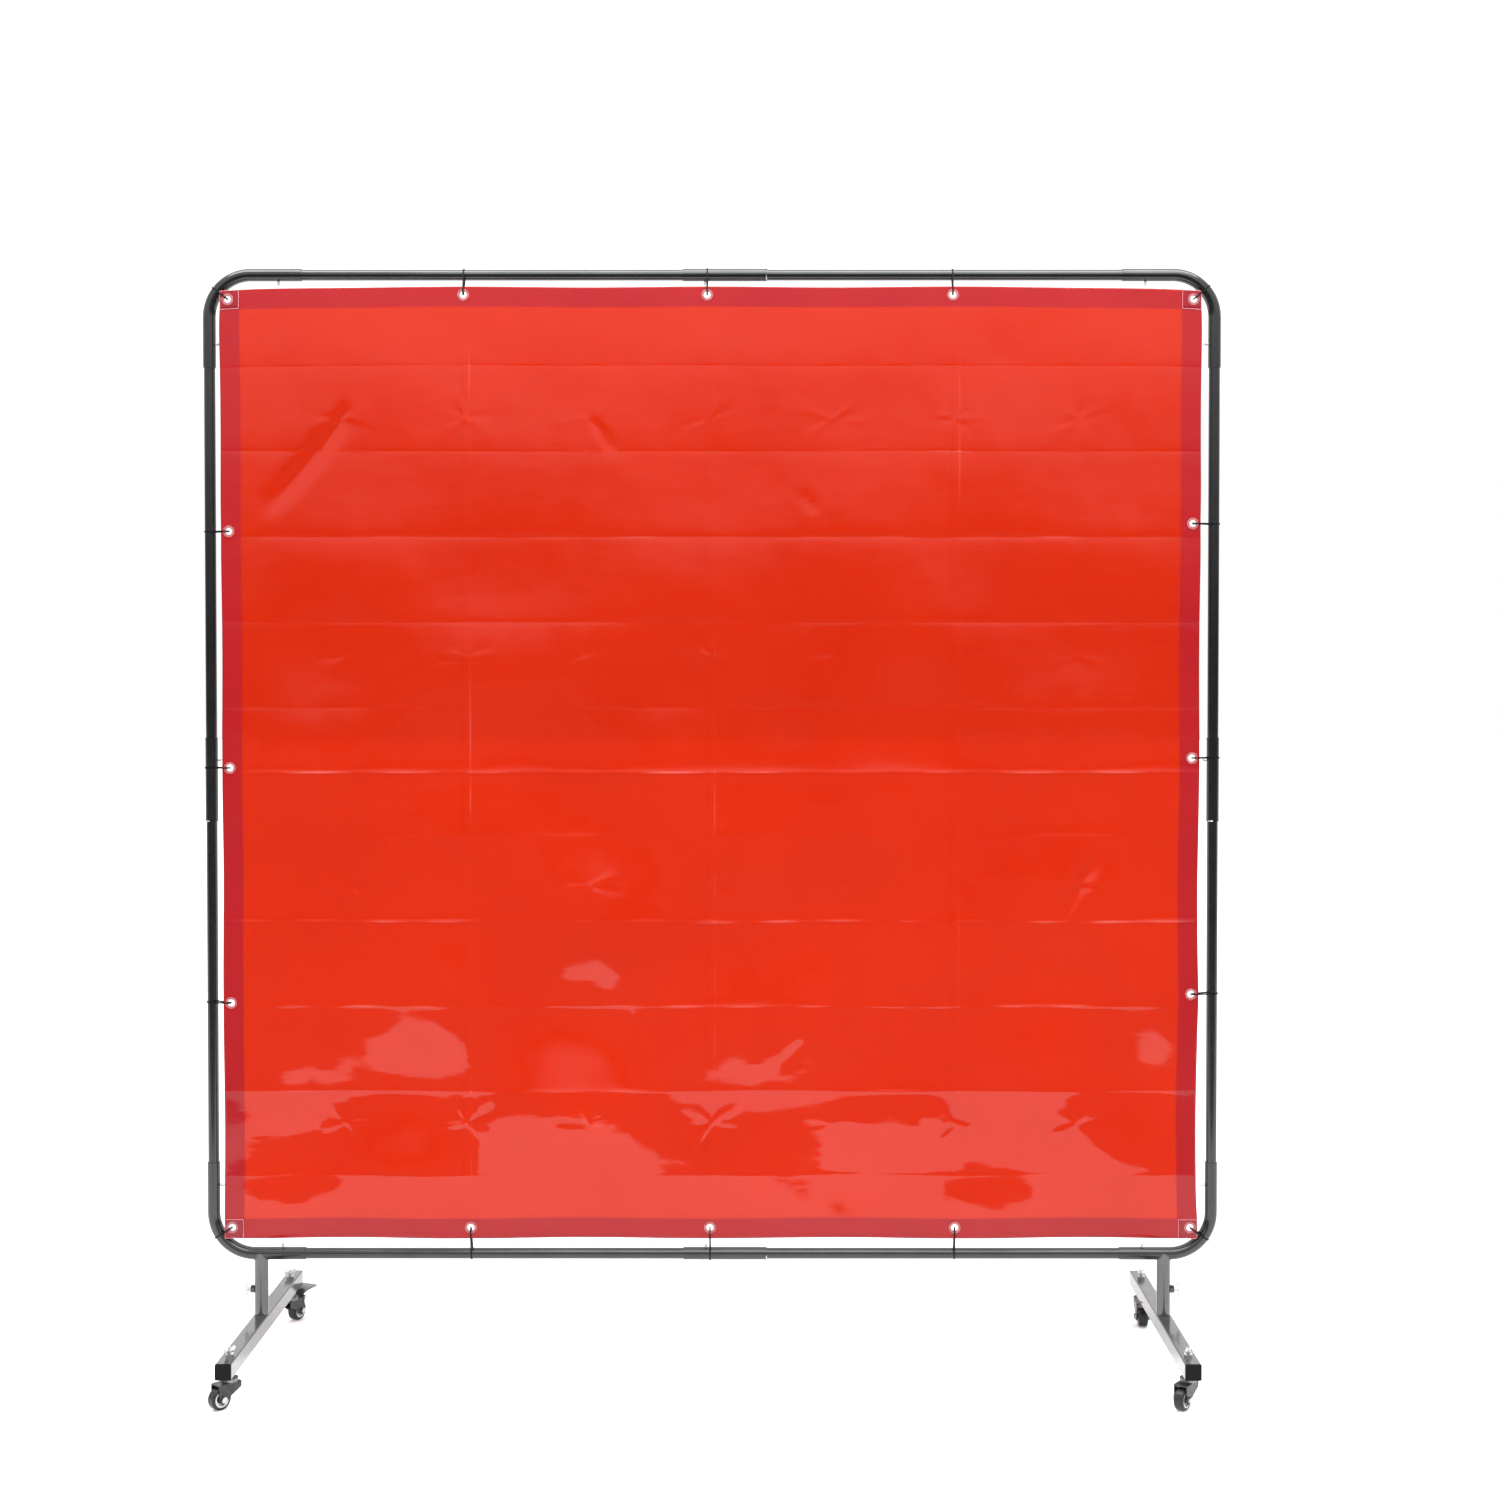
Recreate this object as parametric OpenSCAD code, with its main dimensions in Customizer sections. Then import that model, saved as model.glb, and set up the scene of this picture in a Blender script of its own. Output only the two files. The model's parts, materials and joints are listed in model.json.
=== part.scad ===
// Welding curtain screen: a knock-down frame of round tube on two castered feet,
// with a translucent vinyl curtain tied inside it.
// X runs across the screen, Y from front to back and Z up from the floor.
// The origin is on the floor, midway between the feet.

/* [Frame] */
// Width of the frame over the side tubes
frame_w = 1830; // [1500:10:2200]
// Height of the top of the frame above the floor
frame_top = 1977; // [1500:1:2200]
// Height of the underside of the frame above the floor
frame_base = 187; // [170:1:260]
// Outer diameter of the straight tubes
tube_d = 20; // [18:1:22]
// Wall of the straight tubes
tube_wall = 1.2; // [1:0.1:2]
// Wall of the elbows and joining sleeves
sleeve_wall = 1.4; // [1.2:0.1:2]
// Radius of the elbows along their centre line
bend_r = 75; // [60:5:100]
// Reach of each elbow along each side, from the outside of the corner
elbow_leg = 178; // [160:2:220]
// Length of the joining sleeve in the middle of each side
sleeve_len = 150; // [120:5:200]
// Length of the sleeve that lies on its welded tube
sleeve_welded = 98; // [75:1:110]

/* [Legs and feet] */
// Distance of each leg from the middle of the screen
leg_x = 818; // [700:1:820]
// Outer diameter of the leg posts
post_d = 25; // [24:1:28]
// Length of each foot, with its end caps
foot_len = 550; // [450:10:700]
// Side of the square foot tube
foot_size = 28; // [26:1:32]
// Height of the top of the foot above the floor
foot_top = 87.5; // [85:0.5:92]
// Height of the leg clamp screw above the floor
clamp_z = 133; // [115:1:140]

/* [Casters] */
// Diameter of the wheels
wheel_d = 38; // [36:1:38]
// Width of the tread
wheel_w = 18; // [14:1:18]
// Distance of the axle behind the swivel
trail = 21; // [20:0.5:22]
// Distance of each caster stem from the middle of the foot
stem_y = 229; // [180:1:240]
// Headings of the casters in degrees from +X: front left, front right, rear left, rear right
caster_turn = [229, 233, 67, 268];

/* [Curtain] */
// Width of the curtain
curtain_w = 1758; // [1450:1:1760]
// Height of the curtain
curtain_h = 1714; // [1300:1:1720]
// Width of the hem round the curtain
hem_w = 36; // [25:1:45]
// Diameter of the eyelet holes
eyelet_d = 12; // [10:0.5:13]
// Distance of the eyelets from the edge of the curtain
eyelet_inset = 14; // [12:1:18]

/* [Hidden] */
$fn = 48;

// Frame tubes
slip = 0.1;                                  // radial clearance of a tube in a sleeve
tube_r = tube_d / 2;
sleeve_in_r = tube_r + slip;
sleeve_r = sleeve_in_r + sleeve_wall;
side_x = frame_w / 2 - sleeve_r;             // centre line of the side tubes
top_z = frame_top - sleeve_r;                // centre line of the top tube
base_z = frame_base + sleeve_r;              // centre line of the bottom tube
mid_z = (top_z + base_z) / 2;
corner_x = side_x - bend_r;                  // centre of each elbow's bend
corner_z = top_z - bend_r - mid_z;
elbow_straight = elbow_leg - bend_r - sleeve_r;
tube_insert = 60;                            // tube held inside an elbow
joint_gap = 1;                               // half the gap between two tubes in a sleeve
tube_end_x = corner_x - elbow_straight + tube_insert;
tube_end_z = corner_z - elbow_straight + tube_insert;
screw_r = 2.5;
screw_from_end = 42;                         // clamp screw from the end of an elbow
sleeve_screw = 40;                           // clamp screw from the free end of a sleeve

// Legs and feet
post_r = post_d / 2;
post_wall = 1.4;
stub_r = post_r - post_wall - slip;
stub_wall = 1.5;
stub_h = 70;
clamp_r = 4;                                 // thread of the leg clamp screw
nut_flats = 13;
nut_h = 6.5;
foot_wall = 1.5;
foot_corner = 2.5;
cap_t = 2;
cap_plug = 12;
foot_under = foot_top - foot_size;

// Casters
caster_x = [-leg_x, leg_x, -leg_x, leg_x];
caster_y = [-stem_y, -stem_y, stem_y, stem_y];
fit = 0.05;                                  // radial clearance of a pin that turns
wheel_r = wheel_d / 2;
stem_r = 4;
axle_r = 3;
rim_r = 14;
bearing_r = 8;
fork_gap = 10.5;                             // from the middle of the fork to a cheek
fork_t = 2;
fork_top = 44;
fork_back = -15;
fork_front = 29;
web_z = fork_top - fork_t;
ball_r = 1.5;
ball_ring = 9.5;
ball_count = 10;
cup_r = 14.5;
cup_z = fork_top + 2 * ball_r + 2 * fit;
cup_top = 50;
pivot = [28, 42.5];                          // brake pivot along the trail and up
pivot_r = 1.5;
barrel_r = 3.2;
pedal_t = 2;

// Curtain
curtain_y = -14;                             // front face of the vinyl
vinyl_t = 0.8;
patch_t = 0.6;
curtain_cx = -2;
curtain_base = 229;
curtain_l = curtain_cx - curtain_w / 2;
curtain_r = curtain_cx + curtain_w / 2;
curtain_top = curtain_base + curtain_h;
eyelet_y = curtain_y + vinyl_t;              // middle of the hemmed thickness
eyelet_r = eyelet_d / 2;
flange_r = eyelet_r + 4.5;
punch_r = eyelet_r + 0.6;                    // hole in the vinyl, outside the eyelet's barrel
tie_w = 2.6;
tie_t = 1;
tie_slack = 0.3;                             // between a tie and its tube
tie_head = [5, 3.6, 5.2];

// Places of the eyelets: they are punched by hand, so their pitch is a little uneven
eyelets_top = [-445, -8, 432];
eyelets_base = [-436, -4, 438];
eyelets_left = [656, 1080, 1505];
eyelets_right = [672, 1098, 1519];
eyelet_l = curtain_l + eyelet_inset;
eyelet_rt = curtain_r - eyelet_inset;
eyelet_hi = curtain_top - eyelet_inset - 1;
eyelet_lo = curtain_base + eyelet_inset + 6;
corner_drop = 8;                             // the top corners are pulled a little lower

// One entry per eyelet: x, z, the direction and distance of the tube axis, the radius of the
// tube there, and whether it is at a corner. The middle tie of each side goes round its sleeve.
function to_bend(x, z, sx, sz) =
  let (c = [sx * corner_x, mid_z + sz * corner_z], d = [x, z] - c)
  [x, z, atan2(d[1], d[0]), bend_r - norm(d), sleeve_r, true];
function tied_r(k) = k == 1 ? sleeve_r : tube_r;
eyelet_places = concat(
  [for (k = [0 : 2]) [eyelets_top[k], eyelet_hi, 90, top_z - eyelet_hi, tied_r(k), false]],
  [for (k = [0 : 2]) [eyelets_base[k], eyelet_lo, -90, eyelet_lo - base_z, tied_r(k), false]],
  [for (k = [0 : 2]) [eyelet_l, eyelets_left[k], 180, side_x + eyelet_l, tied_r(k), false]],
  [for (k = [0 : 2]) [eyelet_rt, eyelets_right[k], 0, side_x - eyelet_rt, tied_r(k), false]],
  [
    to_bend(eyelet_l, eyelet_hi - corner_drop, -1, 1),
    to_bend(eyelet_rt, eyelet_hi - corner_drop, 1, 1),
    to_bend(eyelet_l, eyelet_lo, -1, -1),
    to_bend(eyelet_rt, eyelet_lo, 1, -1)
  ]
);

// ---------- shared shapes ----------

// A hollow tube along +Z
module pipe(r, wall, length) {
  difference() {
    cylinder(r = r, h = length);
    translate([0, 0, -1]) cylinder(r = r - wall, h = length + 2);
  }
}

// Points round the outside of a belt that runs over a set of circles [x, y, r]
function support(circles, n, grow) =
  let (
    reach = [for (c = circles) c[0] * n[0] + c[1] * n[1] + c[2]],
    best = search(max(reach), reach)[0],
    c = circles[best]
  )
  [c[0], c[1]] + (c[2] + grow) * n;
function belt(circles, grow) =
  [for (a = [7.5 : 15 : 352.5]) support(circles, [cos(a), sin(a)], grow)];

// A square with rounded corners, centred
module round_square(side, r) {
  square([side, side - 2 * r], center = true);
  square([side - 2 * r, side], center = true);
  for (sx = [-1, 1], sy = [-1, 1])
    translate([sx * (side / 2 - r), sy * (side / 2 - r)]) circle(r = r);
}

// A flat wing with a round tip: it leaves the axis at root height and leans out
module wing(root, tip_x, tip_z, tip_r, t) {
  rotate([90, 0, 0]) translate([0, 0, -t / 2]) linear_extrude(t) {
    translate([tip_x, tip_z]) circle(r = tip_r);
    polygon([
      [0, root],
      [tip_x + tip_r * 0.5, tip_z - tip_r * 0.86],
      [tip_x - tip_r * 0.5, tip_z + tip_r * 0.86],
      [0, root + tip_r * 2.2]
    ]);
  }
}

// A wing screw along +Z: the tip at tip_z0 and the wings from head_z up
module wing_screw(r, tip_z0, head_z, span, tip_r, t) {
  translate([0, 0, tip_z0]) cylinder(r = r, h = head_z + tip_r * 1.6 - tip_z0);
  for (turn = [0, 180])
    rotate([0, 0, turn]) wing(head_z, span / 2 - tip_r, head_z + tip_r * 1.8, tip_r, t);
}

// ---------- frame ----------

// Puts a shape modelled for the top right corner at any corner, with the bend's centre as origin
module at_corner(sx, sz) {
  translate([sx * corner_x, 0, mid_z + sz * corner_z])
    mirror([sx < 0 ? 1 : 0, 0, 0])
    mirror([0, 0, sz < 0 ? 1 : 0])
    children();
}

module elbow_body(r) {
  rotate([90, 0, 0]) rotate_extrude(angle = 90) translate([bend_r, 0]) circle(r = r);
  translate([bend_r, 0, -elbow_straight]) cylinder(r = r, h = elbow_straight);
  translate([-elbow_straight, 0, bend_r]) rotate([0, 90, 0]) cylinder(r = r, h = elbow_straight);
}

// Turns a shape from pointing along +Z to pointing inwards at the clamp screws of an elbow
module at_elbow_screws() {
  place = elbow_straight - screw_from_end;
  translate([bend_r, 0, -place]) rotate([0, -90, 0]) children();
  translate([-place, 0, bend_r]) rotate([0, 180, 0]) children();
}

module elbow(sx, sz) {
  color("#3a3d40") at_corner(sx, sz) difference() {
    elbow_body(sleeve_r);
    elbow_body(sleeve_in_r);
    translate([bend_r, 0, -elbow_straight - 1]) cylinder(r = sleeve_in_r, h = 2);
    translate([-elbow_straight - 1, 0, bend_r]) rotate([0, 90, 0])
      cylinder(r = sleeve_in_r, h = 2);
    at_elbow_screws() cylinder(r = screw_r + fit, h = sleeve_r + 1);
  }
}

// Straight tube on the top or bottom, on the left (sx = -1) or right (sx = 1)
module flat_tube(sx, z) {
  color("#3a3d40") translate([sx < 0 ? -tube_end_x : joint_gap, 0, z]) rotate([0, 90, 0])
    pipe(tube_r, tube_wall, tube_end_x - joint_gap);
}

// Straight tube on a side, in the lower (sz = -1) or upper (sz = 1) half
module side_tube(sx, sz) {
  color("#3a3d40")
    translate([sx * side_x, 0, mid_z + (sz < 0 ? -tube_end_z : joint_gap)])
    pipe(tube_r, tube_wall, tube_end_z - joint_gap);
}

// Joining sleeve along +Z, with its welded end at the bottom and its clamp hole on the +X side
module sleeve() {
  color("#3a3d40") difference() {
    pipe(sleeve_r, sleeve_wall, sleeve_len);
    translate([0, 0, sleeve_len - sleeve_screw]) rotate([0, 90, 0])
      cylinder(r = screw_r + fit, h = sleeve_r + 1);
  }
}

module at_flat_sleeve(z, turn) {
  translate([sleeve_welded, 0, z]) rotate([0, -90, 0]) rotate([0, 0, turn]) children();
}

module at_side_sleeve(sx) {
  translate([sx * side_x, 0, mid_z - sleeve_welded]) rotate([0, 0, sx < 0 ? 0 : 180]) children();
}

// Small wing screw along +Z from the middle of a tube
module frame_screw() {
  wing_screw(screw_r, tube_r + fit, sleeve_r + 1.5, 15, 2.4, 2);
}

module sleeve_frame_screw() {
  translate([0, 0, sleeve_len - sleeve_screw]) rotate([0, 90, 0]) rotate([0, 0, 90]) frame_screw();
}

module frame_wing_screws() {
  color("#d9dcdf") {
    for (sx = [-1, 1], sz = [-1, 1])
      at_corner(sx, sz) at_elbow_screws() rotate([0, 0, 90]) frame_screw();
    at_flat_sleeve(top_z, 180) sleeve_frame_screw();
    at_flat_sleeve(base_z, 0) sleeve_frame_screw();
    for (sx = [-1, 1]) at_side_sleeve(sx) sleeve_frame_screw();
  }
}

// ---------- legs and feet ----------

module leg_post(sx) {
  color("#5b5e61") difference() {
    translate([sx * leg_x, 0, foot_top]) pipe(post_r, post_wall, base_z - foot_top);
    at_corner(sx, -1) elbow_body(sleeve_r);
    translate([sx * leg_x, 0, clamp_z]) rotate([0, sx * 90, 0])
      cylinder(r = clamp_r + fit, h = post_r + 1);
  }
}

module leg_nuts() {
  color("#4a4d50") for (sx = [-1, 1]) translate([sx * leg_x, 0, clamp_z]) difference() {
    rotate([0, sx * 90, 0]) translate([0, 0, post_r - 1])
      cylinder(d = nut_flats / cos(30), h = nut_h + 1, $fn = 6);
    rotate([0, sx * 90, 0]) cylinder(r = clamp_r + fit, h = post_r + nut_h + 2);
    translate([0, 0, -nut_flats]) cylinder(r = post_r, h = 2 * nut_flats);
  }
}

module leg_wing_screw(sx) {
  color("#d9dcdf") translate([sx * leg_x, 0, clamp_z]) rotate([0, sx * 90, 0])
    wing_screw(clamp_r, stub_r + 2 * fit, post_r + nut_h + 2.5, 25, 3.4, 2.6);
}

module foot(sx) {
  color("#8f9295") translate([sx * leg_x, 0, foot_under + foot_size / 2]) difference() {
    rotate([90, 0, 0]) linear_extrude(foot_len - 2 * cap_t, center = true) difference() {
      round_square(foot_size, foot_corner);
      square(foot_size - 2 * foot_wall, center = true);
    }
    for (sy = [-1, 1]) translate([0, sy * stem_y, -foot_size])
      cylinder(r = stem_r + 0.25, h = 2 * foot_size);
  }
}

module foot_stubs() {
  color("#5b5e61") for (sx = [-1, 1])
    translate([sx * leg_x, 0, foot_top]) pipe(stub_r, stub_wall, stub_h);
}

module foot_end_caps() {
  color("#141414") for (sx = [-1, 1], sy = [-1, 1])
    translate([sx * leg_x, sy * (foot_len / 2 - cap_t), foot_under + foot_size / 2])
    rotate([sy * -90, 0, 0]) {
      linear_extrude(cap_t) round_square(foot_size, foot_corner);
      translate([0, 0, -cap_plug]) linear_extrude(cap_plug)
        square(foot_size - 2 * foot_wall - 2 * slip, center = true);
    }
}

// ---------- casters ----------

// Puts a shape at caster i: the origin is under the stem, +X runs towards the axle
module at_caster(i) {
  translate([caster_x[i], caster_y[i], 0]) rotate([0, 0, caster_turn[i]]) children();
}

module at_axle(i) {
  at_caster(i) translate([trail, 0, wheel_r]) rotate([-90, 0, 0]) children();
}

module caster_stems() {
  rivet_r = 6;
  collar_r = 6.5;
  thread_top = foot_top + 14;
  color("#c9ccce") for (i = [0 : 3]) at_caster(i) {
    translate([0, 0, web_z - 2.5]) cylinder(r = rivet_r, h = 2.5 - fit);
    translate([0, 0, web_z - 1]) cylinder(r = stem_r, h = thread_top - web_z + 1);
    translate([0, 0, cup_top]) cylinder(r = collar_r, h = foot_under - cup_top);
  }
}

module stem_wing_nuts() {
  base_r = 7;
  base_h = 6.5;
  color("#d9dcdf") for (i = [0 : 3])
    translate([caster_x[i], caster_y[i], foot_top]) rotate([0, 0, i < 2 ? 65 : 55])
    difference() {
      union() {
        cylinder(r = base_r, h = base_h);
        for (turn = [0, 180]) rotate([0, 0, turn]) wing(1, 10.5, 10.5, 3.6, 2.6);
      }
      translate([0, 0, -1]) cylinder(r = stem_r, h = 30);
    }
}

module swivel_cups() {
  skirt_t = 2;
  rim_z = fork_top + 0.3;                    // clear of the fork, which it turns over
  color("#8f9295") for (i = [0 : 3]) at_caster(i) difference() {
    translate([0, 0, rim_z]) cylinder(r = cup_r, h = cup_top - rim_z);
    translate([0, 0, fork_top]) cylinder(r = cup_r - skirt_t, h = cup_z - fork_top);
    translate([0, 0, fork_top]) cylinder(r = stem_r, h = cup_top);
  }
}

module swivel_balls() {
  color("#c9ccce") for (i = [0 : 3], k = [0 : ball_count - 1]) at_caster(i)
    rotate([0, 0, k * 360 / ball_count]) translate([ball_ring, 0, fork_top + ball_r + fit])
    sphere(r = ball_r, $fn = 24);
}

// Outline of one fork cheek, along the trail and up
module cheek_outline(braked) {
  polygon([
    [fork_back, fork_top], [fork_front, fork_top], [fork_front, wheel_r],
    [trail - 7, wheel_r - 5], [fork_back + 20, wheel_r + 4], [fork_back, wheel_r + 15]
  ]);
  translate([trail, wheel_r]) circle(r = fork_front - trail);
  if (braked) translate(pivot) circle(r = 4.5);
}

module fork(i) {
  braked = i > 1;
  web_front = braked ? pivot[0] - barrel_r - 5 : fork_front;
  color("#55585b") at_caster(i) difference() {
    union() {
      for (side = [-fork_gap - fork_t, fork_gap])
        translate([0, side + fork_t, 0]) rotate([90, 0, 0]) linear_extrude(fork_t)
          cheek_outline(braked);
      translate([fork_back, -fork_gap - fork_t, web_z])
        cube([web_front - fork_back, 2 * (fork_gap + fork_t), fork_t]);
    }
    translate([0, 0, web_z - 1]) cylinder(r = stem_r + fit, h = fork_t + 2);
    translate([trail, 0, wheel_r]) rotate([90, 0, 0])
      cylinder(r = axle_r, h = 4 * fork_gap, center = true);
    if (braked) translate([pivot[0], 0, pivot[1]]) rotate([90, 0, 0])
      cylinder(r = pivot_r, h = 4 * fork_gap, center = true);
  }
}

// Axle bolt with its lock nut on the far cheek: the head is on the left of the front casters'
// heading, and on the right of the rear ones'
module axle(i) {
  head_r = 5.3;
  cheek = fork_gap + fork_t;
  color("#d9dcdf") at_axle(i) mirror([0, 0, i < 2 ? 1 : 0]) {
    cylinder(r = axle_r, h = 2 * cheek + 7, center = true);
    translate([0, 0, -cheek - 4]) cylinder(r = head_r, h = 4);
    translate([0, 0, cheek]) cylinder(d = 10 / cos(30), h = 3.2, $fn = 6);
  }
}

module tread(i) {
  corner = 4;
  half = wheel_w / 2;
  color("#3f4144") at_axle(i) rotate_extrude() intersection() {
    translate([rim_r, -half]) square([wheel_r - rim_r, wheel_w]);
    union() {
      translate([rim_r, -half]) square([wheel_r - corner - rim_r, wheel_w]);
      translate([rim_r, corner - half]) square([wheel_r - rim_r, wheel_w - 2 * corner]);
      for (side = [-1, 1])
        translate([wheel_r - corner, side * (half - corner)]) circle(r = corner);
    }
  }
}

module hub(i) {
  lip = 2.6;
  lip_half = wheel_w / 2 - 0.6;
  web_half = 4.5;
  color("#cfd1d3") at_axle(i) rotate_extrude() {
    translate([rim_r - lip, -lip_half]) square([lip, 2 * lip_half]);
    translate([bearing_r, -web_half]) square([rim_r - lip - bearing_r + 0.1, 2 * web_half]);
  }
}

module bearing(i) {
  ring_r = 4.6;
  side_gap = 0.2;
  color("#2b2c2e") at_axle(i) rotate_extrude() {
    translate([axle_r + fit, -fork_gap + side_gap])
      square([ring_r - axle_r - fit, 2 * (fork_gap - side_gap)]);
    translate([ring_r - 0.1, -4.5]) square([bearing_r - ring_r + 0.1, 9]);
  }
}

module brake_pin(i) {
  color("#c9ccce") at_caster(i) translate([pivot[0], 0, pivot[1]]) rotate([90, 0, 0])
    cylinder(r = pivot_r, h = 2 * (fork_gap + fork_t) + 1.6, center = true);
}

// Pedal: a barrel on the pivot, a shoe above the tread and a plate that flares to its outer edge
module brake_pedal(i) {
  inner_half = fork_gap - 0.6;
  outer_half = 18;
  outer_s = 64;
  shoe = 5.1;
  color("#7d8083") at_caster(i) difference() {
    union() {
      translate([pivot[0], 0, pivot[1]]) rotate([90, 0, 0])
        cylinder(r = barrel_r, h = 2 * inner_half, center = true);
      translate([pivot[0] - 1.2, -inner_half, pivot[1] - shoe])
        cube([2.4, 2 * inner_half, shoe]);
      intersection() {
        rotate([90, 0, 0]) linear_extrude(2 * outer_half, center = true) polygon([
          [pivot[0] - 2, pivot[1] + 1], [pivot[0], pivot[1] + barrel_r],
          [38, 51], [52, 55], [outer_s, 56], [outer_s, 56 + pedal_t],
          [51, 55 + pedal_t], [37, 51 + pedal_t], [pivot[0] - 2, pivot[1] + barrel_r + 1.4]
        ]);
        linear_extrude(80) polygon([
          [pivot[0] - 3, -inner_half], [34, -inner_half], [44, -13], [56, -outer_half],
          [outer_s - 3, -outer_half], [outer_s, -outer_half + 4],
          [outer_s, outer_half - 4], [outer_s - 3, outer_half],
          [56, outer_half], [44, 13], [34, inner_half], [pivot[0] - 3, inner_half]
        ]);
      }
    }
    translate([pivot[0], 0, pivot[1]]) rotate([90, 0, 0])
      cylinder(r = pivot_r + fit, h = 4 * fork_gap, center = true);
  }
}

// ---------- curtain ----------

module at_eyelets() {
  for (e = eyelet_places)
    translate([e[0], eyelet_y, e[1]]) rotate([90, 0, 0]) children();
}

// The vinyl, doubled at the back round its hem and punched for the eyelets
module curtain_panel() {
  color([0.9, 0.2, 0.12, 0.8]) difference() {
    translate([curtain_l, curtain_y, curtain_base]) cube([curtain_w, 2 * vinyl_t, curtain_h]);
    translate([curtain_l + hem_w, curtain_y + vinyl_t, curtain_base + hem_w])
      cube([curtain_w - 2 * hem_w, 2 * vinyl_t, curtain_h - 2 * hem_w]);
    at_eyelets() cylinder(r = punch_r, h = 8, center = true);
  }
}

module corner_patches() {
  side = hem_w - 1;
  color([0.95, 0.45, 0.4, 0.7]) for (sx = [-1, 1], sz = [-1, 1]) difference() {
    translate([sx < 0 ? curtain_l : curtain_r - side, curtain_y - patch_t,
               sz < 0 ? curtain_base : curtain_top - side])
      cube([side, patch_t, side]);
    at_eyelets() cylinder(r = punch_r, h = 8, center = true);
  }
}

// A moulded eyelet: two flanges on a short barrel
module eyelets() {
  half = vinyl_t + patch_t + 0.1;
  flange_t = 0.7;
  color([0.95, 0.75, 0.75, 0.6]) at_eyelets() rotate_extrude() {
    translate([eyelet_r, -half - flange_t]) square([0.5, 2 * (half + flange_t)]);
    for (side = [-half - flange_t, half])
      translate([eyelet_r, side]) square([flange_r - eyelet_r, flange_t]);
  }
}

// A cable tie through each eyelet and round the tube, with its head behind the tube.
// In its own plane X runs from the tube towards the eyelet, and Y is the screen's Y.
module cable_tie(e) {
  tube = e[4];
  corner = e[5] ? [[6.5, curtain_y - patch_t, 0.7]] : [];
  loop_r = 3.8;
  circles = concat([[0, 0, tube + tie_slack], [e[3] - loop_r - 0.2, eyelet_y, loop_r]], corner);
  linear_extrude(tie_w, center = true) difference() {
    polygon(belt(circles, tie_t));
    polygon(belt(circles, 0));
  }
  translate([-tie_head[0] / 2, tube + tie_slack + tie_t / 2, -tie_head[2] / 2]) cube(tie_head);
}

module cable_ties() {
  color("#1c1c1e") for (e = eyelet_places)
    translate([e[0] + e[3] * cos(e[2]), 0, e[1] + e[3] * sin(e[2])])
    rotate([0, 180 - e[2], 0]) cable_tie(e);
}

elbow(-1, 1);  // elbow_top_left
elbow(1, 1);  // elbow_top_right
elbow(-1, -1);  // elbow_bottom_left
elbow(1, -1);  // elbow_bottom_right
flat_tube(-1, top_z);  // top_tube_left
flat_tube(1, top_z);  // top_tube_right
flat_tube(-1, base_z);  // bottom_tube_left
flat_tube(1, base_z);  // bottom_tube_right
side_tube(-1, 1);  // left_tube_upper
side_tube(-1, -1);  // left_tube_lower
side_tube(1, 1);  // right_tube_upper
side_tube(1, -1);  // right_tube_lower
at_flat_sleeve(top_z, 180) sleeve();  // top_sleeve
at_flat_sleeve(base_z, 0) sleeve();  // bottom_sleeve
at_side_sleeve(-1) sleeve();  // left_sleeve
at_side_sleeve(1) sleeve();  // right_sleeve
frame_wing_screws();
leg_post(-1);  // leg_post_left
leg_post(1);  // leg_post_right
leg_nuts();
leg_wing_screw(-1);  // leg_wing_screw_left
leg_wing_screw(1);  // leg_wing_screw_right
foot(-1);  // foot_left
foot(1);  // foot_right
foot_stubs();
foot_end_caps();
curtain_panel();
corner_patches();
eyelets();
cable_ties();
caster_stems();
stem_wing_nuts();
swivel_cups();
swivel_balls();
fork(0);  // fork_front_left
fork(1);  // fork_front_right
fork(2);  // fork_rear_left
fork(3);  // fork_rear_right
axle(0);  // axle_front_left
axle(1);  // axle_front_right
axle(2);  // axle_rear_left
axle(3);  // axle_rear_right
tread(0);  // tread_front_left
tread(1);  // tread_front_right
tread(2);  // tread_rear_left
tread(3);  // tread_rear_right
hub(0);  // hub_front_left
hub(1);  // hub_front_right
hub(2);  // hub_rear_left
hub(3);  // hub_rear_right
bearing(0);  // bearing_front_left
bearing(1);  // bearing_front_right
bearing(2);  // bearing_rear_left
bearing(3);  // bearing_rear_right
brake_pedal(2);  // brake_pedal_left
brake_pedal(3);  // brake_pedal_right
brake_pin(2);  // brake_pin_left
brake_pin(3);  // brake_pin_right
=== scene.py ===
"""Looks for the welding curtain screen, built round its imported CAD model.

The tubes, feet, casters, eyelets and ties are the CAD's own shapes with new materials. The vinyl,
its hem and its corner patches are meshes made here from one displacement function, so that they
follow each other. Everything is in metres, with +Z up and the screen's front towards -Y.
"""
import json
import math

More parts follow.
